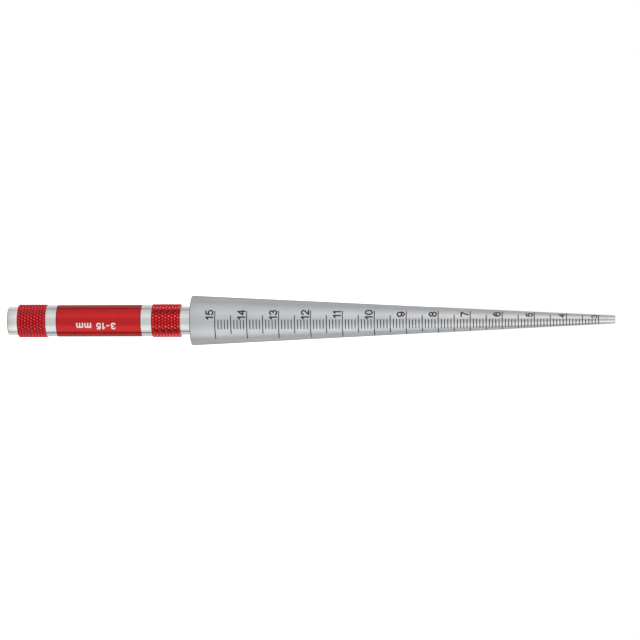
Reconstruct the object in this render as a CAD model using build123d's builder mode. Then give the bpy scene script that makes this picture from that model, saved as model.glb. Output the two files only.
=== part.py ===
from build123d import *
import math
import os

# Taper gauge for reading the diameter of a hole: a slender steel cone with a scale, on a turned
# aluminium handle. Millimetres. The gauge stands on the flat end of its handle, the tip is up,
# the axis is Z, and the origin is the centre of the handle's end face. The scale faces -Y: its
# lines and numerals are shallow engraving, finer than these solids.

# The readings of the scale, and the cone that gives them
smallest_reading = 3.0
largest_reading = 15.0
length_for_each_millimetre = 10.0
plain_length_behind_scale = 8.1
plain_length_before_scale = 5.2
cone_rim_break = 0.3
cone_tip_break = 0.15

# The handle, from its free end to the cone
stub_diameter = 9.25
stub_length = 3.3
stub_edge_break = 0.3
knurl_length = 9.2
knurl_crest_diameter = 10.6
knurl_depth = 0.4
knurl_end_drop = 0.2
knurl_ridges = 30
knurl_angle = 29.5
band_diameter = 10.0
band_length = 3.3
barrel_diameter = 10.1
barrel_length = 27.1

# The stud that joins the two, screwed as far into the handle as into the cone
stud_diameter = 5.0
stud_length = 16.0
stud_end_break = 0.5
stud_socket_width = 2.5
stud_socket_depth = 3.0
thread_clearance = 0.05
hole_run_out = 0.5
hole_mouth_break = 0.4

# Heights and radii that follow from the sizes above
first_knurl_bottom = stub_length
first_band_bottom = first_knurl_bottom + knurl_length
barrel_bottom = first_band_bottom + band_length
second_band_bottom = barrel_bottom + barrel_length
second_knurl_bottom = second_band_bottom + band_length
second_stub_bottom = second_knurl_bottom + knurl_length
handle_length = second_stub_bottom + stub_length
largest_reading_height = handle_length + plain_length_behind_scale
scale_length = (largest_reading - smallest_reading) * length_for_each_millimetre
tip_height = largest_reading_height + scale_length + plain_length_before_scale
stud_hole_radius = stud_diameter / 2 + thread_clearance
stud_hole_depth = stud_length / 2 + hole_run_out


def cone_radius(height):
    """The cone's radius at a height: half of the reading that belongs to that height."""
    reading = largest_reading - (height - largest_reading_height) / length_for_each_millimetre
    return reading / 2


def knurl_corner(bottom, rows, row, step):
    """A corner of the knurl's diamonds: crest and valley take turns along a row and up the rows."""
    radius = knurl_crest_diameter / 2
    if (row + step) % 2 == 0:
        radius -= knurl_depth
    elif row in (0, rows):
        radius -= knurl_end_drop
    height = bottom + knurl_length * row / rows
    return Vector(radius, 0, height).rotate(Axis.Z, step * 180 / knurl_ridges)


def knurl_row(bottom, rows, row):
    """All the corners round the handle at one height, in order."""
    return [knurl_corner(bottom, rows, row, step) for step in range(2 * knurl_ridges)]


def knurled_collar(bottom):
    """A solid collar with crossed grooves: each diamond between them is a pyramid of flat faces.

    The grooves climb one way or the other from corner to corner, so each field between four
    corners is folded along the diagonal that joins its two valley corners.
    """
    half_diamond = math.pi * knurl_crest_diameter / (2 * knurl_ridges * math.tan(math.radians(knurl_angle)))
    rows = max(2, round(knurl_length / half_diamond))
    corners = [knurl_row(bottom, rows, row) for row in range(rows + 1)]
    faces = [Face(Wire.make_polygon(corners[0])), Face(Wire.make_polygon(corners[rows]))]
    for row in range(rows):
        for step in range(2 * knurl_ridges):
            after = (step + 1) % (2 * knurl_ridges)
            a, b = corners[row][step], corners[row][after]
            c, d = corners[row + 1][after], corners[row + 1][step]
            folded = ((a, b, c), (a, c, d)) if (row + step) % 2 == 0 else ((a, b, d), (b, c, d))
            faces += [Face(Wire.make_polygon(corner)) for corner in folded]
    return Solid(Shell(faces))


os.makedirs("parts", exist_ok=True)

# The cone: turned and ground steel, with a blind tapped hole for the stud in its large end
with BuildPart() as measuring_cone:
    with BuildSketch(Plane.XZ):
        with BuildLine():
            Polyline(
                (0, handle_length),
                (cone_radius(handle_length), handle_length),
                (cone_radius(tip_height), tip_height),
                (0, tip_height),
                close=True,
            )
        make_face()
    revolve(axis=Axis.Z)
    ends = measuring_cone.edges().filter_by(GeomType.CIRCLE).sort_by(Axis.Z)
    chamfer(ends[0], cone_rim_break)
    chamfer(ends[-1], cone_tip_break)
    with BuildSketch(Plane.XY.offset(handle_length)):
        Circle(stud_hole_radius)
    extrude(amount=stud_hole_depth, mode=Mode.SUBTRACT)
    mouth = measuring_cone.faces().sort_by(Axis.Z)[0].edges().sort_by(SortBy.RADIUS)[0]
    chamfer(mouth, hole_mouth_break)
measuring_cone.part.label = "measuring_cone"
export_step(measuring_cone.part, "parts/measuring_cone.step")

# The handle: one bar of aluminium, turned, knurled in two places and drilled and tapped at one end
knurled_collars = [knurled_collar(bottom) for bottom in (first_knurl_bottom, second_knurl_bottom)]
with BuildPart() as handle:
    with BuildSketch(Plane.XZ):
        with BuildLine():
            Polyline(
                (0, 0),
                (stub_diameter / 2, 0),
                (stub_diameter / 2, first_band_bottom),
                (band_diameter / 2, first_band_bottom),
                (band_diameter / 2, barrel_bottom),
                (barrel_diameter / 2, barrel_bottom),
                (barrel_diameter / 2, second_band_bottom),
                (band_diameter / 2, second_band_bottom),
                (band_diameter / 2, second_knurl_bottom),
                (stub_diameter / 2, second_knurl_bottom),
                (stub_diameter / 2, handle_length),
                (0, handle_length),
                close=True,
            )
        make_face()
    revolve(axis=Axis.Z)
    chamfer(handle.edges().filter_by(GeomType.CIRCLE).sort_by(Axis.Z)[0], stub_edge_break)
    add(knurled_collars)
    with BuildSketch(Plane.XY.offset(handle_length)):
        Circle(stud_hole_radius)
    extrude(amount=-stud_hole_depth, mode=Mode.SUBTRACT)
    mouth = handle.faces().sort_by(Axis.Z)[-1].edges().sort_by(SortBy.RADIUS)[0]
    chamfer(mouth, hole_mouth_break)
handle.part.label = "handle"
export_step(handle.part, "parts/handle.step")

# The stud: a set screw with a hexagon socket, hidden in the two tapped holes
with BuildPart() as joining_stud:
    with BuildSketch(Plane.XY.offset(handle_length - stud_length / 2)):
        Circle(stud_diameter / 2)
    extrude(amount=stud_length)
    chamfer(joining_stud.edges().filter_by(GeomType.CIRCLE), stud_end_break)
    with BuildSketch(Plane.XY.offset(handle_length + stud_length / 2)):
        RegularPolygon(stud_socket_width / 2, 6, major_radius=False)
    extrude(amount=-stud_socket_depth, mode=Mode.SUBTRACT)
joining_stud.part.label = "joining_stud"
export_step(joining_stud.part, "parts/joining_stud.step")
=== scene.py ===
import math

import bpy
import numpy as np
from mathutils import Matrix, Vector


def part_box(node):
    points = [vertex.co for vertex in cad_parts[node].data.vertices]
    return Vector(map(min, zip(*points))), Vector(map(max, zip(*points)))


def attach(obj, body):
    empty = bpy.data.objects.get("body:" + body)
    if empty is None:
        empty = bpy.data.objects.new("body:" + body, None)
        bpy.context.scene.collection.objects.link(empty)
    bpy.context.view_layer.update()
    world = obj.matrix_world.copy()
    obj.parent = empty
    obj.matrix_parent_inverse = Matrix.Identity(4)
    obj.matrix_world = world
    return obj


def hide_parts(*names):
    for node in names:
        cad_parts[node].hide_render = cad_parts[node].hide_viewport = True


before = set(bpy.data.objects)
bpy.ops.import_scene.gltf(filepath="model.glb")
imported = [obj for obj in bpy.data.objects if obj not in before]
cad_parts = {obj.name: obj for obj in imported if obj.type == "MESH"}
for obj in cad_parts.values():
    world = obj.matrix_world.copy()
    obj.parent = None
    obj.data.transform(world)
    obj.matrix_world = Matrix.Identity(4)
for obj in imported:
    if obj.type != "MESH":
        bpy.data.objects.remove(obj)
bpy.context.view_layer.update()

# Measuring cone. One turned and ground bar of tool steel that tapers by 1 in 10, finished in satin
# chrome. A dividing machine cut the 121 lines of its scale into it as narrow flat grooves, and a
# blind hole in its large end takes the stud. All sizes of the gauge are in millimetres.
MM = 0.001
LARGEST_READING, SMALLEST_READING = 15.0, 3.0
READING_STEP = 0.1
LENGTH_PER_READING = 10.0
LINES_TO_MEDIUM, LINES_TO_LONG = 5, 10
PLAIN_END = 5.2
RIM_ROUND, RIM_NARROWING, TIP_ROUND = 0.35, 0.015, 0.15
ROUND_POINTS = 5
HOLE_RADIUS, HOLE_DEPTH, HOLE_MOUTH = 2.55, 8.5, 0.4
LINE_WIDTH, LINE_DEPTH, LINE_WALL, LINE_END = 0.3, 0.1, 0.03, 0.06
# The scale's middle lies a little beside the side that faces the reader, and its short, medium and
# long lines reach so far from there towards the numerals and away from them
SCALE_MIDDLE = 1.3
TO_NUMERALS = (1.55, 2.9, 4.4)
FROM_NUMERALS = (1.55, 3.25, 5.4)
FLAT_SHADING_ANGLE = math.radians(32.0)

cone_low, cone_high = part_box("measuring_cone")
cone_foot, cone_tip = cone_low.z / MM, cone_high.z / MM
largest_line = cone_tip - PLAIN_END - (LARGEST_READING - SMALLEST_READING) * LENGTH_PER_READING


def cone_radius(height):
    """Half of the reading at a height: the reading falls by one for each ten millimetres."""
    return (LARGEST_READING - (height - largest_line) / LENGTH_PER_READING) / 2


# The grid's columns stand where lines end, so their angles follow the radius. Each half of the grid
# runs from the scale's middle to the far side with so many columns from one stop to the next. Near
# the tip the lines would meet behind, so there each stop is kept under its share of a widest angle.
COLUMNS_BETWEEN = (10, 1, 6, 1, 6, 1, 28)
WIDEST_HALF_ANGLE = math.radians(165.0)
WIDEST_SHARES = np.array([1.0, 0.94, 0.95, 0.96, 0.97, 0.99, 1.0])
columns_to_stop = np.cumsum((0,) + COLUMNS_BETWEEN)
half_columns = columns_to_stop[-1]


def half_angles(radius, reaches):
    """Angles from the scale's middle to the far side, at each radius.

    An arc length divided by the radius is an angle, kept under the widest. The stops are the
    middle, each line's end and a wall's width before it, and the far side; the columns between two
    stops are evenly spread.
    """
    arcs = np.array([0.0] + [arc for reach in reaches for arc in (reach - LINE_END, reach)])
    reach = np.minimum(arcs / radius, WIDEST_HALF_ANGLE * WIDEST_SHARES)
    stops = np.hstack((reach, np.full_like(radius, math.pi)))
    column = np.arange(half_columns + 1)
    return np.array([np.interp(column, columns_to_stop, row) for row in stops])


def column_angles(radius):
    """Angles of all columns at each radius, from the far side through the scale and round again."""
    radius = np.atleast_1d(np.asarray(radius, float))[:, None]
    near = half_angles(radius, TO_NUMERALS)
    far = half_angles(radius, FROM_NUMERALS)
    return np.hstack((-near[:, :0:-1], far[:, :-1])) + SCALE_MIDDLE / radius


def ring_points(angles, radii, heights):
    """Points in metres: the angle is measured from the scale's side, -Y, towards +X."""
    angles, radii, heights = np.broadcast_arrays(angles, radii, heights)
    return np.stack((radii * np.sin(angles), -radii * np.cos(angles), heights), -1) * MM


def mesh_piece(name, points, faces, materials, face_materials=None):
    """An object from arrays: rows of x, y, z, and lots of faces with three or four corners each."""
    mesh = bpy.data.meshes.new(name)
    corners = np.concatenate([face.ravel() for face in faces]).astype(np.int32)
    counts = np.concatenate([np.full(len(face), face.shape[1]) for face in faces])
    mesh.vertices.add(len(points))
    mesh.vertices.foreach_set("co", np.asarray(points, np.float32).ravel())
    mesh.loops.add(len(corners))
    mesh.loops.foreach_set("vertex_index", corners)
    mesh.polygons.add(len(counts))
    mesh.polygons.foreach_set("loop_start", (np.cumsum(counts) - counts).astype(np.int32))
    mesh.update(calc_edges=True)
    for material in materials:
        mesh.materials.append(material)
    if face_materials is not None:
        mesh.polygons.foreach_set("material_index", np.asarray(face_materials, np.int32))
    mesh.shade_smooth()
    mesh.set_sharp_from_angle(angle=FLAT_SHADING_ANGLE)
    piece = bpy.data.objects.new(name, mesh)
    bpy.context.scene.collection.objects.link(piece)
    return piece


def turned_faces(rows, columns, falling=None):
    """Faces of a grid that closes round the axis, with a pole before its first row and one after
    its last.

    falling says, for each field of the grid, that it folds along its falling diagonal; without it
    the fields stay quads. The poles are the two points after the grid's own.
    """
    corner = np.arange(rows * columns).reshape(rows, columns)
    beside = np.roll(corner, -1, axis=1)
    a, b = corner[:-1].ravel(), beside[:-1].ravel()
    c, d = beside[1:].ravel(), corner[1:].ravel()
    if falling is None:
        body = [np.column_stack((a, b, c, d))]
    else:
        falls = falling.ravel()[:, None]
        first = np.where(falls, np.column_stack((a, b, d)), np.column_stack((a, b, c)))
        second = np.where(falls, np.column_stack((b, c, d)), np.column_stack((a, c, d)))
        body = [np.hstack((first, second)).reshape(-1, 3)]
    start, end = rows * columns, rows * columns + 1
    foot = np.column_stack((beside[0], corner[0], np.full(columns, start)))
    head = np.column_stack((corner[-1], beside[-1], np.full(columns, end)))
    return body + [foot, head]


def turned_piece(name, angles, radii, heights, materials, falling=None, row_materials=None):
    """A closed turned shape: each row of a grid goes once round the axis at its own height."""
    points = ring_points(angles, radii, heights)
    rows, columns = points.shape[:2]
    poles = np.array([[0, 0, points[0, 0, 2]], [0, 0, points[-1, 0, 2]]])
    faces = turned_faces(rows, columns, falling)
    face_materials = None
    if row_materials is not None:
        per_field = 1 if falling is None else 2
        body = np.repeat(row_materials, columns * per_field)
        ends = np.repeat([row_materials[0], row_materials[-1]], columns)
        face_materials = np.concatenate((body, ends))
    points = np.vstack((points.reshape(-1, 3), poles))
    return mesh_piece(name, points, faces, materials, face_materials)


def corner_round(radius, height, size, start, end):
    """Radii and heights of a rounded corner: part of a circle of that size about its centre."""
    turn = np.radians(np.linspace(start, end, ROUND_POINTS))
    return radius + size * np.cos(turn), height + size * np.sin(turn)


def linear(colour):
    """The linear red, green and blue of a written sRGB colour."""
    parts = np.array([int(colour[i:i + 2], 16) for i in (1, 3, 5)]) / 255
    parts = np.where(parts <= 0.04045, parts / 12.92, ((parts + 0.055) / 1.055) ** 2.4)
    return (*parts, 1.0)


def set_inputs(node, inputs):
    """A node's inputs, each linked to a socket or set to a value."""
    for name, value in inputs.items():
        if isinstance(value, bpy.types.NodeSocket):
            node.id_data.links.new(value, node.inputs[name])
        else:
            node.inputs[name].default_value = value


def add_node(tree, kind, inputs, **settings):
    """A new node with its settings, and its inputs linked or set."""
    node = tree.nodes.new(kind)
    for name, value in settings.items():
        setattr(node, name, value)
    set_inputs(node, inputs)
    return node


def new_material(name):
    """A material made of nodes, and the shader in it."""
    material = bpy.data.materials.new(name)
    material.use_nodes = True
    return material, material.node_tree.nodes["Principled BSDF"]


# Noise keeps mostly to the middle of its range, and that is what a finish spreads from its lowest
# value to its highest. The Mix node's colours are known by the places of their sockets alone.
NOISE_LOW, NOISE_HIGH, NOISE_DETAIL = 0.3, 0.7, 2.0
DARK_SOCKET, LIGHT_SOCKET, MIXED_SOCKET = 6, 7, 2
RELIEF_STRENGTH = 0.05


def patterned_finish(name, patterns, tones, roughness, relief=(), relief_depth=0.0, constants=()):
    """A material whose tone, roughness and relief follow noise with grains of a real size.

    patterns gives each noise's grain size in millimetres, along the axis and round it. tones and
    roughness each name the noise that they follow, and what its low and its high give. relief
    names the noises whose sum is the surface's height, and constants stand on the shader itself.
    """
    material, shader = new_material(name)
    tree = material.node_tree
    where = add_node(tree, "ShaderNodeTexCoord", {}).outputs["Object"]
    noise = {}
    for pattern, (along, around) in patterns.items():
        grains = (1 / (around * MM), 1 / (around * MM), 1 / (along * MM))
        spread = add_node(tree, "ShaderNodeMapping", {"Vector": where, "Scale": grains})
        cells = add_node(tree, "ShaderNodeTexNoise", {
            "Vector": spread.outputs["Vector"], "Scale": 1.0, "Detail": NOISE_DETAIL})
        noise[pattern] = cells.outputs["Fac"]

    pattern, darkest, lightest = tones
    share = add_node(tree, "ShaderNodeMapRange", {
        "Value": noise[pattern], "From Min": NOISE_LOW, "From Max": NOISE_HIGH})
    tone = add_node(tree, "ShaderNodeMix", {
        "Factor": share.outputs["Result"], DARK_SOCKET: linear(darkest),
        LIGHT_SOCKET: linear(lightest)}, data_type="RGBA")

    pattern, smoothest, roughest = roughness
    dullness = add_node(tree, "ShaderNodeMapRange", {
        "Value": noise[pattern], "From Min": NOISE_LOW, "From Max": NOISE_HIGH,
        "To Min": smoothest, "To Max": roughest})
    set_inputs(shader, {"Base Color": tone.outputs[MIXED_SOCKET],
                        "Roughness": dullness.outputs["Result"], **dict(constants)})

    if relief:
        height = noise[relief[0]]
        for pattern in relief[1:]:
            height = add_node(tree, "ShaderNodeMath", {0: height, 1: noise[pattern]},
                              operation="ADD").outputs["Value"]
        bump = add_node(tree, "ShaderNodeBump", {
            "Height": height, "Strength": RELIEF_STRENGTH, "Distance": relief_depth * MM})
        set_inputs(shader, {"Normal": bump.outputs["Normal"]})
    return material


def satin_chrome():
    """Satin chrome on ground steel: the plating keeps the grinding, and fine blasting dulls it.

    The eye sees a soft even grey with a broad sheen and faint rings. The blasted grain is about
    0.03 mm and the grinding marks 0.05 mm, both drawn several times as coarse so that they show.
    """
    return patterned_finish(
        "satin_chrome", {"grain": (0.22, 0.22), "rings": (0.35, 40.0), "cloud": (9.0, 9.0)},
        tones=("cloud", "#BCBEC1", "#C2C4C6"), roughness=("grain", 0.42, 0.46),
        relief=("grain", "rings"), relief_depth=0.02,
        constants={"Metallic": 1.0, "Specular Tint": linear("#B4B4B4")})


# Each line is four rows of the grid: its walls' tops are the first and the last, its floor's edges
# the two between. The floor reaches to the stop before the line's end.
line_numbers = np.arange(round((LARGEST_READING - SMALLEST_READING) / READING_STEP) + 1)
line_heights = largest_line + line_numbers * (READING_STEP * LENGTH_PER_READING)
line_kinds = (line_numbers % LINES_TO_MEDIUM == 0).astype(int) + (line_numbers % LINES_TO_LONG == 0)
floor_columns = columns_to_stop[[1, 3, 5]][line_kinds]
ROW_OFFSETS = LINE_WIDTH / 2 * np.array([-1, -1, 1, 1]) + LINE_WALL * np.array([0, 1, -1, 0])
scale_rows = (line_heights[:, None] + ROW_OFFSETS).ravel()

# The grid's rows: the hole from its bottom to its mouth, the rim, the scale and the tip
TIP_START_ANGLE = 3
rim_radius, tip_radius = cone_radius(cone_foot), cone_radius(cone_tip)
hole_radii = np.array([HOLE_RADIUS, HOLE_RADIUS, HOLE_RADIUS + HOLE_MOUTH])
hole_heights = cone_foot + np.array([HOLE_DEPTH, HOLE_MOUTH, 0.0])
rim = corner_round(rim_radius - RIM_ROUND - RIM_NARROWING, cone_foot + RIM_ROUND, RIM_ROUND, -90, 0)
tip = corner_round(tip_radius - TIP_ROUND, cone_tip - TIP_ROUND, TIP_ROUND, TIP_START_ANGLE, 90)
cone_radii = np.concatenate((hole_radii, rim[0], cone_radius(scale_rows), tip[0]))
cone_heights = np.concatenate((hole_heights, rim[1], scale_rows, tip[1]))
cone_angles = column_angles(np.concatenate((
    np.full_like(hole_radii, rim_radius), rim[0], cone_radius(scale_rows),
    np.full_like(tip[0], tip_radius))))

from_middle = np.abs(np.arange(2 * half_columns) - half_columns)
in_floor = from_middle <= floor_columns[:, None]
grooves = np.zeros((len(line_heights), len(ROW_OFFSETS), len(from_middle)))
grooves[:, 1:3] = LINE_DEPTH * in_floor[:, None, :]
cone_radii = np.repeat(cone_radii[:, None], len(from_middle), axis=1)
cone_radii[len(hole_radii) + len(rim[0]):-len(tip[0])] -= grooves.reshape(len(scale_rows), -1)

cone = turned_piece("engraved_cone", cone_angles, cone_radii, cone_heights[:, None],
                    [satin_chrome()])
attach(cone, "root")
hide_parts("measuring_cone")

# Filling of the lines. Black enamel, wiped into the grooves and baked, so it lies a little below
# the steel on both sides and ends where each groove ends.
FILLING_DROP, FILLING_GAP = 0.02, 0.005


def black_enamel():
    """Baked enamel: nearly black, with the dull sheen of paint that was wiped flat.

    The wiping left faint patches of about half a millimetre, some glossier than others.
    """
    return patterned_finish(
        "black_enamel", {"wiping": (0.5, 0.5)},
        tones=("wiping", "#1C1C1E", "#262628"), roughness=("wiping", 0.45, 0.65))


def line_filling(height, reach):
    """One line's filling: a flat bar of four edges that follows the groove to so many columns."""
    half_width = LINE_WIDTH / 2 - LINE_WALL - FILLING_GAP
    heights = height + half_width * np.array([-1, -1, 1, 1])
    bottom = LINE_DEPTH - FILLING_GAP
    depths = np.array([bottom, FILLING_DROP, FILLING_DROP, bottom])
    columns = slice(half_columns - reach, half_columns + reach + 1)
    angles = column_angles(cone_radius(height))[0, columns]
    points = ring_points(angles[:, None], cone_radius(heights) - depths, heights)
    corner = np.arange(len(angles) * 4).reshape(-1, 4)
    beside = np.roll(corner, -1, axis=1)
    sides = np.stack((corner[:-1], corner[1:], beside[1:], beside[:-1]), -1).reshape(-1, 4)
    ends = np.array([corner[0], corner[-1, ::-1]])
    return points.reshape(-1, 3), np.vstack((sides, ends))


def joined(parts):
    """Several lots of points and faces as one, with each face's corners counted on."""
    starts = np.cumsum([0] + [len(points) for points, faces in parts[:-1]])
    points = np.vstack([points for points, faces in parts])
    return points, np.vstack([faces + start for (_, faces), start in zip(parts, starts)])


enamel = black_enamel()
filled_lines = joined([line_filling(height, reach)
                       for height, reach in zip(line_heights, floor_columns)])
lines = mesh_piece("line_filling", filled_lines[0], [filled_lines[1]], [enamel])
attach(lines, "root")

# Numerals of the scale. Engraved with a round cutter along single strokes, filled with the same
# enamel and stoned flush, one number before each whole line, with its top towards the handle.
NUMERAL_HEIGHT, NUMERAL_STROKE, NUMERAL_WIDTH = 2.64, 0.47, 1.88
NUMERAL_GAP, NUMERAL_TO_LINE = 0.33, 0.38
NUMERAL_MIDDLE, NUMERAL_WIDEST_TURN = 1.85, 0.65
SMALLEST_SHARE, FULL_SIZE_READING = 0.72, 6.5
PROUD, SUNK = 0.012, 0.03
LETTER_CELL, LETTER_MARGIN = 0.06, 1
ARC_POINTS = 15
TINY = 1e-9


def arc(x, y, reach_x, reach_y, start, end):
    """Points along part of an ellipse: its middle plus each reach times cosine or sine."""
    turn = np.radians(np.linspace(start, end, ARC_POINTS))
    return np.column_stack((x + reach_x * np.cos(turn), y + reach_y * np.sin(turn)))


# Each character is its width as a share of a digit's, and its centre lines in a box of one by one
CHARACTERS = {
    "0": (1.0, [arc(0.5, 0.5, 0.5, 0.5, 0, 360)]),
    "1": (0.37, [np.array([[0.0, 0.76], [0.37, 1.0], [0.37, 0.0]])]),
    "2": (1.0, [np.vstack((arc(0.5, 0.7, 0.47, 0.3, 170, -25), [[0.02, 0.0], [1.0, 0.0]]))]),
    "3": (1.0, [arc(0.47, 0.76, 0.43, 0.24, 160, -90), arc(0.47, 0.265, 0.5, 0.265, 90, -160)]),
    "4": (1.0, [np.array([[0.76, 0.0], [0.76, 1.0], [0.0, 0.29], [1.02, 0.29]])]),
    "5": (1.0, [np.vstack(([[0.92, 1.0], [0.18, 1.0], [0.07, 0.5]],
                           arc(0.48, 0.33, 0.5, 0.33, 145, -155)))]),
    "6": (1.0, [arc(0.5, 0.32, 0.5, 0.32, 0, 360), arc(0.5, 0.5, 0.5, 0.5, 200, 35)]),
    "7": (1.0, [np.array([[0.0, 1.0], [1.0, 1.0], [0.6, 0.5], [0.36, 0.0]])]),
    "8": (1.0, [arc(0.5, 0.76, 0.43, 0.24, 0, 360), arc(0.5, 0.265, 0.5, 0.265, 0, 360)]),
    "9": (1.0, [arc(0.5, 0.68, 0.5, 0.32, 0, 360), arc(0.5, 0.5, 0.5, 0.5, 20, -145)]),
    "-": (0.5, [np.array([[0.0, 0.4], [0.5, 0.4]])]),
    "m": (1.5, [np.array([[0.0, 0.0], [0.0, 0.7]]),
                np.vstack((arc(0.375, 0.44, 0.375, 0.27, 180, 0), [[0.75, 0.0]])),
                np.vstack((arc(1.125, 0.44, 0.375, 0.27, 180, 0), [[1.5, 0.0]]))]),
    " ": (0.3, []),
}


def nearest_on(points, starts, ends):
    """For each point, the nearest point of all the straight stretches from starts to ends."""
    along = ends - starts
    squared = np.maximum((along ** 2).sum(1), TINY)
    share = np.einsum("psk,sk->ps", points[:, None] - starts, along) / squared
    feet = starts + np.clip(share, 0, 1)[..., None] * along
    best = np.argmin(((points[:, None] - feet) ** 2).sum(2), axis=1)
    return feet[np.arange(len(points)), best]


def flat_lettering(text, height, width, stroke, gap):
    """A text as a flat sheet of small squares: its points, its squares, its edge and its width.

    A square is kept where its middle lies within half a stroke of a centre line, and the corners
    on the sheet's edge are then moved to exactly half a stroke from that line.
    """
    half, pen, starts, ends = stroke / 2, stroke / 2, [], []
    unit = np.array([width - stroke, height - stroke])
    for share, strokes in (CHARACTERS[letter] for letter in text):
        for line in strokes:
            path = line * unit + (pen, half)
            starts.append(path[:-1])
            ends.append(path[1:])
        pen += share * unit[0] + stroke + gap
    starts, ends = np.vstack(starts), np.vstack(ends)
    length = pen - gap - half
    across, up = (int(size / LETTER_CELL) + 1 + 2 * LETTER_MARGIN for size in (length, height))
    x, y = np.meshgrid(np.arange(across + 1) - LETTER_MARGIN, np.arange(up + 1) - LETTER_MARGIN)
    nodes = np.column_stack((x.ravel(), y.ravel())) * LETTER_CELL
    corner = np.arange(len(nodes)).reshape(up + 1, across + 1)
    squares = np.column_stack((corner[:-1, :-1].ravel(), corner[:-1, 1:].ravel(),
                               corner[1:, 1:].ravel(), corner[1:, :-1].ravel()))
    middles = nodes[squares].mean(1)
    inside = np.linalg.norm(middles - nearest_on(middles, starts, ends), axis=1) < half
    squares = squares[inside]
    edges = np.vstack([squares[:, [i, (i + 1) % 4]] for i in range(4)])
    code, back = edges @ (len(nodes), 1), edges @ (1, len(nodes))
    rim = edges[~np.isin(code, back)]
    on_rim = np.unique(rim)
    feet = nearest_on(nodes[on_rim], starts, ends)
    away = nodes[on_rim] - feet
    nodes[on_rim] = feet + away / np.linalg.norm(away, axis=1)[:, None] * half
    used, numbers = np.unique(np.concatenate((squares.ravel(), rim.ravel())), return_inverse=True)
    squares, rim = numbers[:squares.size].reshape(-1, 4), numbers[squares.size:].reshape(-1, 2)
    return nodes[used], squares, rim, length


def inlay(sheet, squares, rim, place):
    """A thin closed body from a flat sheet: its top stands a little proud, its back is sunk."""
    count = len(sheet)
    walls = np.column_stack((rim[:, 1], rim[:, 0], rim[:, 0] + count, rim[:, 1] + count))
    points = np.vstack((place(sheet, PROUD), place(sheet, -SUNK)))
    return points, np.vstack((squares, squares[:, ::-1] + count, walls))


def numeral(reading):
    """One number of the scale, laid on the cone: it reads against the angle, its top down the cone.

    Its middle keeps one arc length from the side that faces the reader, or one angle where the
    cone is thin, and the numbers nearest to the tip are smaller.
    """
    share = np.interp(reading, (SMALLEST_READING, FULL_SIZE_READING), (SMALLEST_SHARE, 1.0))
    sheet, squares, rim, length = flat_lettering(
        str(reading), share * NUMERAL_HEIGHT, share * NUMERAL_WIDTH, share * NUMERAL_STROKE,
        NUMERAL_GAP)
    its_line = largest_line + (LARGEST_READING - reading) * LENGTH_PER_READING
    baseline = its_line - NUMERAL_TO_LINE
    start = length / 2 - min(NUMERAL_MIDDLE, NUMERAL_WIDEST_TURN * cone_radius(baseline))

    def place(points, lift):
        heights = baseline - points[:, 1]
        radii = cone_radius(heights)
        return ring_points((start - points[:, 0]) / radii, radii + lift, heights)

    return inlay(sheet, squares, rim, place)


whole_readings = range(int(SMALLEST_READING), int(LARGEST_READING) + 1)
filled_numerals = joined([numeral(reading) for reading in whole_readings])
numerals = mesh_piece("numeral_filling", filled_numerals[0], [filled_numerals[1]], [enamel])
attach(numerals, "root")

# Handle. One bar of aluminium, turned, rolled with a diamond knurl in two places and anodised red;
# the two bands and both ends were then turned bare again. The cone's end has the other tapped hole,
# and its neck is a little thinner than the stub at the free end.
STUB_RADIUS, STUB_LENGTH, STUB_ROUND = 4.625, 3.3, 0.3
NECK_RADIUS = 4.5
KNURL_LENGTH, KNURL_CREST, KNURL_DEPTH, KNURL_END_DROP = 9.2, 5.3, 0.4, 0.22
KNURL_FLAT, KNURL_FLOOR = 0.08, 0.96
BAND_RADIUS, BAND_LENGTH = 5.0, 3.3
BARREL_RADIUS, BARREL_LENGTH, BARREL_BEVEL = 5.05, 27.1, 0.2


def red_anodised(name, smoothest, roughest, darkest, lightest, oxide):
    """Anodised aluminium: the dyed oxide colours what the turned metal under it reflects.

    The eye sees a deep clear red that turns darker and greyish at the edges, with fine turning
    rings. Their real pitch is 0.1 mm, drawn at 0.4 mm so that they show. The oxide has its own
    white gloss, strongest on the knurl's small faces.
    """
    return patterned_finish(
        name, {"rings": (0.4, 60.0), "cloud": (5.0, 5.0)},
        tones=("cloud", darkest, lightest), roughness=("rings", smoothest, roughest),
        relief=("rings",), relief_depth=0.01,
        constants={"Metallic": 1.0, "Specular Tint": linear("#181818"), "Coat Weight": oxide,
                   "Coat Roughness": 0.08, "Coat IOR": 1.45})


def bare_aluminium(name, smoothest, roughest, darkest, lightest):
    """Bare turned aluminium: bright and slightly warm, with the rings that the tool left.

    A keen tool leaves it nearly polished, a blunt one dull. The rings' real pitch is 0.1 mm, drawn
    at 0.3 mm so that they show.
    """
    return patterned_finish(
        name, {"rings": (0.3, 60.0)},
        tones=("rings", darkest, lightest), roughness=("rings", smoothest, roughest),
        relief=("rings",), relief_depth=0.01, constants={"Metallic": 1.0})


# The knurl's lattice has one step from a crest to the next groove, both round the handle and along
# it, and each step has several columns and rows of the grid. Its columns start at +X, and its rows
# half a step before a ring of crests.
KNURL_STEPS, KNURL_FINE, KNURL_FINE_ROWS = 60, 6, 56
KNURL_START_ANGLE, KNURL_START_STEP = 90.0, 0.5
knurl_columns = KNURL_STEPS * KNURL_FINE
handle_steps = np.arange(knurl_columns) / KNURL_FINE
handle_angles = np.radians(KNURL_START_ANGLE + handle_steps * 360 / KNURL_STEPS)
knurl_rows = np.arange(KNURL_FINE_ROWS + 1)
knurl_lattice = knurl_rows / KNURL_FINE - KNURL_START_STEP


def groove_share(position):
    """A row of vee grooves, one at each even position: 1 at its bottom, 0 at the odd crests."""
    return np.abs((position % 2) - 1)


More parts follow.
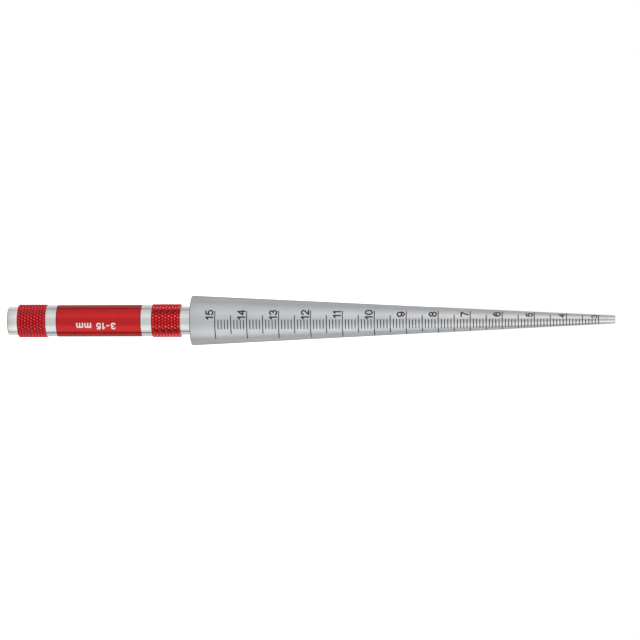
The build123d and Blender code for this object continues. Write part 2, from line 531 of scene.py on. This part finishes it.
def knurl_radii():
    """Crossed grooves: the deeper of the two helical grooves through each point sets its depth.

    The crests are a little flat, the grooves a little round, and the ends slope down to the edge.
    """
    row, step = np.meshgrid(knurl_lattice, handle_steps, indexing="ij")
    depth = np.maximum(groove_share(row + step), groove_share(row - step))
    depth = np.clip(depth, KNURL_FLAT, KNURL_FLOOR)
    depth = (depth - KNURL_FLAT) / (KNURL_FLOOR - KNURL_FLAT)
    rows_to_end = np.minimum(knurl_rows, KNURL_FINE_ROWS - knurl_rows)[:, None]
    drop = KNURL_END_DROP * np.clip(1 - rows_to_end, 0, 1)
    return np.minimum(KNURL_CREST - KNURL_DEPTH * depth, KNURL_CREST - drop)


def knurl_falls():
    """True for each small field of the knurl that folds along its falling diagonal."""
    row = np.floor(knurl_lattice[:-1] + TINY)[:, None]
    step = np.floor(handle_steps + TINY)
    return (row + step) % 2 == 1


# The handle's finishes by their places in its list of materials, and its rows from foot to hole
RED, BARE, DULL, KNURLED = 0, 1, 2, 3
handle_rows = []


def add_rows(radii, heights, finish, falls=False):
    """Rows of the handle, with the finish and the folds of the surface that each row starts."""
    count = len(heights)
    radii = np.broadcast_to(np.reshape(radii, (count, -1)), (count, knurl_columns))
    falls = np.broadcast_to(falls, (count, knurl_columns))
    handle_rows.append((radii, heights, np.full(count, finish), falls))


def add_knurl(bottom):
    """A knurled zone between two plain ones: its last row already starts the bare shoulder."""
    heights = bottom + knurl_rows * KNURL_LENGTH / KNURL_FINE_ROWS
    radii = knurl_radii()
    add_rows(radii[:-1], heights[:-1], KNURLED, knurl_falls())
    add_rows(radii[-1:], heights[-1:], BARE)


def add_barrel(bottom):
    """The smooth red length, with a bevel at each end."""
    top = bottom + BARREL_LENGTH
    low = BARREL_RADIUS - BARREL_BEVEL
    add_rows([low, BARREL_RADIUS], [bottom, bottom + BARREL_BEVEL], RED)
    add_rows([BARREL_RADIUS, BARREL_RADIUS], [(bottom + top) / 2, top - BARREL_BEVEL], RED)
    add_rows([low], [top], BARE)


handle_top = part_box("handle")[1].z / MM
first_knurl = STUB_LENGTH
first_band = first_knurl + KNURL_LENGTH
barrel_foot = first_band + BAND_LENGTH
second_band = barrel_foot + BARREL_LENGTH
second_knurl = second_band + BAND_LENGTH
neck_foot = second_knurl + KNURL_LENGTH

add_rows(*corner_round(STUB_RADIUS - STUB_ROUND, STUB_ROUND, STUB_ROUND, -90, 0), DULL)
add_rows([STUB_RADIUS], [first_knurl], DULL)
add_knurl(first_knurl)
add_rows([BAND_RADIUS, BAND_RADIUS], [first_band, barrel_foot], BARE)
add_barrel(barrel_foot)
add_rows([BAND_RADIUS, BAND_RADIUS], [second_band, second_knurl], BARE)
add_knurl(second_knurl)
add_rows([NECK_RADIUS, NECK_RADIUS], [neck_foot, handle_top], BARE)
add_rows([HOLE_RADIUS + HOLE_MOUTH, HOLE_RADIUS, HOLE_RADIUS],
         [handle_top, handle_top - HOLE_MOUTH, handle_top - HOLE_DEPTH], BARE)

handle_finishes = [
    red_anodised("red_anodised_barrel", 0.26, 0.32, "#B20E13", "#BC1116", 0.5),
    bare_aluminium("bright_turned_aluminium", 0.2, 0.23, "#C2C3C2", "#CACBCA"),
    bare_aluminium("dull_turned_aluminium", 0.3, 0.34, "#DCD9D6", "#E4E1DE"),
    # The knurl's red is written lighter than the barrel's, though both carry one dye: painted light
    # for the brighter look of its small faces. Its stronger gloss is the oxide's own.
    red_anodised("red_anodised_knurl_painted_lighter", 0.18, 0.24, "#CA1A22", "#D21E26", 1.0),
]
radii, heights, finishes, folds = (np.concatenate(part) for part in zip(*handle_rows))
handle = turned_piece("knurled_handle", handle_angles, radii, heights[:, None], handle_finishes,
                      folds[:-1], finishes[:-1])
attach(handle, "root")
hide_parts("handle")

# Print on the handle. White ink, pad printed on the anodised barrel: the range of the scale, with
# its tops away from the numerals of the scale and its foot near the side that faces the reader.
PRINT_TEXT = "3-15 mm"
PRINT_HEIGHT, PRINT_WIDTH, PRINT_STROKE, PRINT_GAP = 2.22, 1.6, 0.4, 0.4
PRINT_FOOT, PRINT_START = 0.64, 34.95


def white_ink():
    """Printed ink: a flat white whose dull film is a little uneven, in patches of 0.6 mm."""
    return patterned_finish(
        "white_ink", {"film": (0.6, 0.6)},
        tones=("film", "#ECEAE8", "#F6F4F2"), roughness=("film", 0.45, 0.6))


def on_barrel(points, lift):
    """The text runs down the handle from its start, and its tops point along the angle."""
    return ring_points((PRINT_FOOT + points[:, 1]) / BARREL_RADIUS, BARREL_RADIUS + lift,
                       PRINT_START - points[:, 0])


sheet, squares, rim_edges, _ = flat_lettering(
    PRINT_TEXT, PRINT_HEIGHT, PRINT_WIDTH, PRINT_STROKE, PRINT_GAP)
printed = inlay(sheet, squares, rim_edges, on_barrel)
range_print = mesh_piece("range_print", printed[0], [printed[1]], [white_ink()])
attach(range_print, "root")

# Joining stud. A black steel set screw with an M5 thread, half in the cone and half in the handle,
# where nothing of it shows. A hexagon socket in its upper end takes the key.
STUD_RADIUS, STUD_PITCH, THREAD_DEPTH, STUD_BREAK = 2.5, 0.8, 0.46, 0.5
SOCKET_WIDTH, SOCKET_DEPTH = 2.5, 3.0
ROWS_PER_TURN, STUD_COLUMNS = 8, 48
HALF_SIDE = math.pi / 6


def black_oxide():
    """Black oxide on steel: a thin dark skin that still has the metal's gloss on its crests.

    The skin is a little uneven, in patches of about 0.4 mm.
    """
    return patterned_finish(
        "black_oxide_steel", {"skin": (0.4, 0.4)},
        tones=("skin", "#2A2A2C", "#38383A"), roughness=("skin", 0.35, 0.5),
        constants={"Metallic": 1.0})


# The thread is a vee that climbs one pitch a turn, cut down to a cone at both ends
stud_low, stud_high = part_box("joining_stud")
stud_foot, stud_top = stud_low.z / MM, stud_high.z / MM
stud_angles = np.arange(STUD_COLUMNS) * 2 * math.pi / STUD_COLUMNS
turns = round((stud_top - stud_foot) / STUD_PITCH)
thread_heights = np.linspace(stud_foot, stud_top, turns * ROWS_PER_TURN + 1)
climb = (thread_heights[:, None] - stud_foot) / STUD_PITCH - stud_angles / (2 * math.pi)
thread = STUD_RADIUS - THREAD_DEPTH * np.abs(2 * (climb % 1) - 1)
to_stud_end = np.minimum(thread_heights - stud_foot, stud_top - thread_heights)[:, None]
thread = np.minimum(thread, STUD_RADIUS - STUD_BREAK + to_stud_end)
from_side_middle = (stud_angles + HALF_SIDE) % (2 * HALF_SIDE) - HALF_SIDE
socket = SOCKET_WIDTH / 2 / np.cos(from_side_middle)
stud_radii = np.vstack((thread, socket, socket))
stud_heights = np.concatenate((thread_heights, [stud_top, stud_top - SOCKET_DEPTH]))
stud = turned_piece("threaded_stud", stud_angles, stud_radii, stud_heights[:, None],
                    [black_oxide()])
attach(stud, "root")
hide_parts("joining_stud")

# Studio. A white table that the gauge stands on, and long soft lamps on both sides of the camera,
# with a smaller pair and a small dark card before the tip. More cards stand where round metal
# mirrors a room's darker sides: one at each side, one behind, one above and one below. In metres.
LAMPS = {  # degrees from the camera's side, then distance, height, width, length, and radiance
    "lower_lamp": (57.0, 0.7, 0.06, 0.56, 1.6, 0.40),
    "upper_lamp": (-38.0, 0.7, 0.06, 0.44, 1.6, 0.26),
    "lower_tip_lamp": (54.0, 0.35, 0.415, 0.14, 0.42, 2.0),
    "upper_tip_lamp": (-36.0, 0.35, 0.415, 0.14, 0.42, 1.6),
}
CARDS = {  # degrees, distance, height, width, length, and tone
    "tip_card": (3.0, 0.35, 0.265, 0.11, 0.12, "#080808"),
    "lower_card": (98.0, 0.5, 0.06, 0.09, 1.4, "#343434"),
    "upper_card": (-99.0, 0.5, 0.06, 0.16, 1.4, "#BCBCBC"),
    "back_card": (180.0, 0.6, 0.06, 2.6, 1.6, "#FAFAFA"),
}
END_CARDS = {"top_card": (0.9, "#B8B8B8"), "bottom_card": (-0.6, "#8C8C8C")}
END_CARD_SIZE = 3.0
TABLE_SIZE, TABLE_GLOW = 6.0, 0.8
WORLD_FOR_DIFFUSE = 0.75
SQUARE = np.array([(-1, -1, 0), (1, -1, 0), (1, 1, 0), (-1, 1, 0)]) / 2
ONE_FACE = [np.array([[0, 1, 2, 3]])]
WHITE, BLACK = (1, 1, 1, 1), (0, 0, 0, 1)


def facing(angle, distance, height):
    """Where a lamp or card stands: turned round Z from the camera's side, its face to the axis."""
    turn = math.radians(angle)
    out = Vector((math.sin(turn), -math.cos(turn), 0))
    across = Vector((math.cos(turn), math.sin(turn), 0))
    stand = Matrix((across, Vector((0, 0, 1)), out)).transposed().to_4x4()
    stand.translation = out * distance + Vector((0, 0, height))
    return stand


def hang_card(name, corners, tone):
    """A card that glows at that tone all over instead of being lit, for mirror images alone: it
    shades nothing and isn't seen.
    """
    material, shader = new_material(name + "_mirrored_glow")
    set_inputs(shader, {"Base Color": BLACK, "Roughness": 1.0, "Specular IOR Level": 0.0,
                        "Emission Color": linear(tone), "Emission Strength": 1.0})
    card = mesh_piece(name, corners, ONE_FACE, [material])
    card.visible_camera = card.visible_shadow = card.visible_diffuse = False


for name, (angle, distance, height, width, length, radiance) in LAMPS.items():
    lamp = bpy.data.lights.new(name, "AREA")
    lamp.shape = "RECTANGLE"
    lamp.size, lamp.size_y = width, length
    lamp.energy = radiance * math.pi * width * length
    holder = bpy.data.objects.new(name, lamp)
    holder.matrix_world = facing(angle, distance, height)
    holder.visible_camera = False
    bpy.context.scene.collection.objects.link(holder)

for name, (angle, distance, height, width, length, tone) in CARDS.items():
    stand = facing(angle, distance, height)
    flat = SQUARE * (width, length, 0)
    hang_card(name, np.array([stand @ Vector(corner) for corner in flat]), tone)

for name, (height, tone) in END_CARDS.items():
    hang_card(name, SQUARE * END_CARD_SIZE + (0, 0, height), tone)


def background_rays(tree):
    """1 for the rays that show the background: from the camera, or through gloss and glass."""
    rays = add_node(tree, "ShaderNodeLightPath", {}).outputs
    shown = rays["Is Camera Ray"]
    for kind in ("Is Glossy Ray", "Is Transmission Ray"):
        shown = add_node(tree, "ShaderNodeMath", {0: shown, 1: rays[kind]},
                         operation="MAXIMUM").outputs["Value"]
    return shown


# The room is white to the camera and to gloss, and a little darker as a light on the gauge
world = bpy.data.worlds.new("white_room")
world.use_nodes = True
bpy.context.scene.world = world
room = world.node_tree
strength = add_node(room, "ShaderNodeMapRange",
                    {"Value": background_rays(room), "To Min": WORLD_FOR_DIFFUSE, "To Max": 1.0})
set_inputs(room.nodes["Background"], {"Color": WHITE, "Strength": strength.outputs["Result"]})

# The table: a white sheet that is bright to the camera and to gloss, and still takes a soft shadow
table_material, table_shader = new_material("white_table")
table_tree = table_material.node_tree
glow = add_node(table_tree, "ShaderNodeMath",
                {0: background_rays(table_tree), 1: TABLE_GLOW}, operation="MULTIPLY")
set_inputs(table_shader, {"Base Color": linear("#E6E6E6"), "Roughness": 0.8,
                          "Specular IOR Level": 0.0, "Emission Color": WHITE,
                          "Emission Strength": glow.outputs["Value"]})
table = mesh_piece("table", SQUARE * TABLE_SIZE, ONE_FACE, [table_material])
table.visible_glossy = table.visible_shadow = False

# Camera. A long lens that looks a little down at the scale's side, rolled so that the tip points
# right: the tip is a little nearer to it than the handle.
FOCAL_PIXELS, PICTURE_PIXELS, SENSOR = 2851.7, 640.0, 36.0
CAMERA_DISTANCE, TIP_NEARER, PICTURE_ROLL = 900 * MM, math.radians(4.93), math.radians(0.15)
PICTURE_MIDDLE = Vector((0, 0, 99.33 * MM))
DOWN_IN_PICTURE = 0.054 * MM
NEAREST_SEEN, FARTHEST_SEEN = 0.01, 20.0
right = Vector((0, math.sin(TIP_NEARER), math.cos(TIP_NEARER)))
towards = Vector((0, -math.cos(TIP_NEARER), math.sin(TIP_NEARER)))
up = Vector((-1, 0, 0))
rolled_right = right * math.cos(PICTURE_ROLL) - up * math.sin(PICTURE_ROLL)
rolled_up = right * math.sin(PICTURE_ROLL) + up * math.cos(PICTURE_ROLL)
camera_data = bpy.data.cameras.new("camera")
camera_data.sensor_width = SENSOR
camera_data.lens = FOCAL_PIXELS * SENSOR / PICTURE_PIXELS
camera_data.clip_start, camera_data.clip_end = NEAREST_SEEN, FARTHEST_SEEN
camera = bpy.data.objects.new("camera", camera_data)
axes = Matrix((rolled_right, rolled_up, towards)).transposed().to_4x4()
axes.translation = PICTURE_MIDDLE + towards * CAMERA_DISTANCE + rolled_up * DOWN_IN_PICTURE
camera.matrix_world = axes
bpy.context.scene.collection.objects.link(camera)
bpy.context.scene.camera = camera
bpy.context.scene.view_settings.view_transform = "Standard"
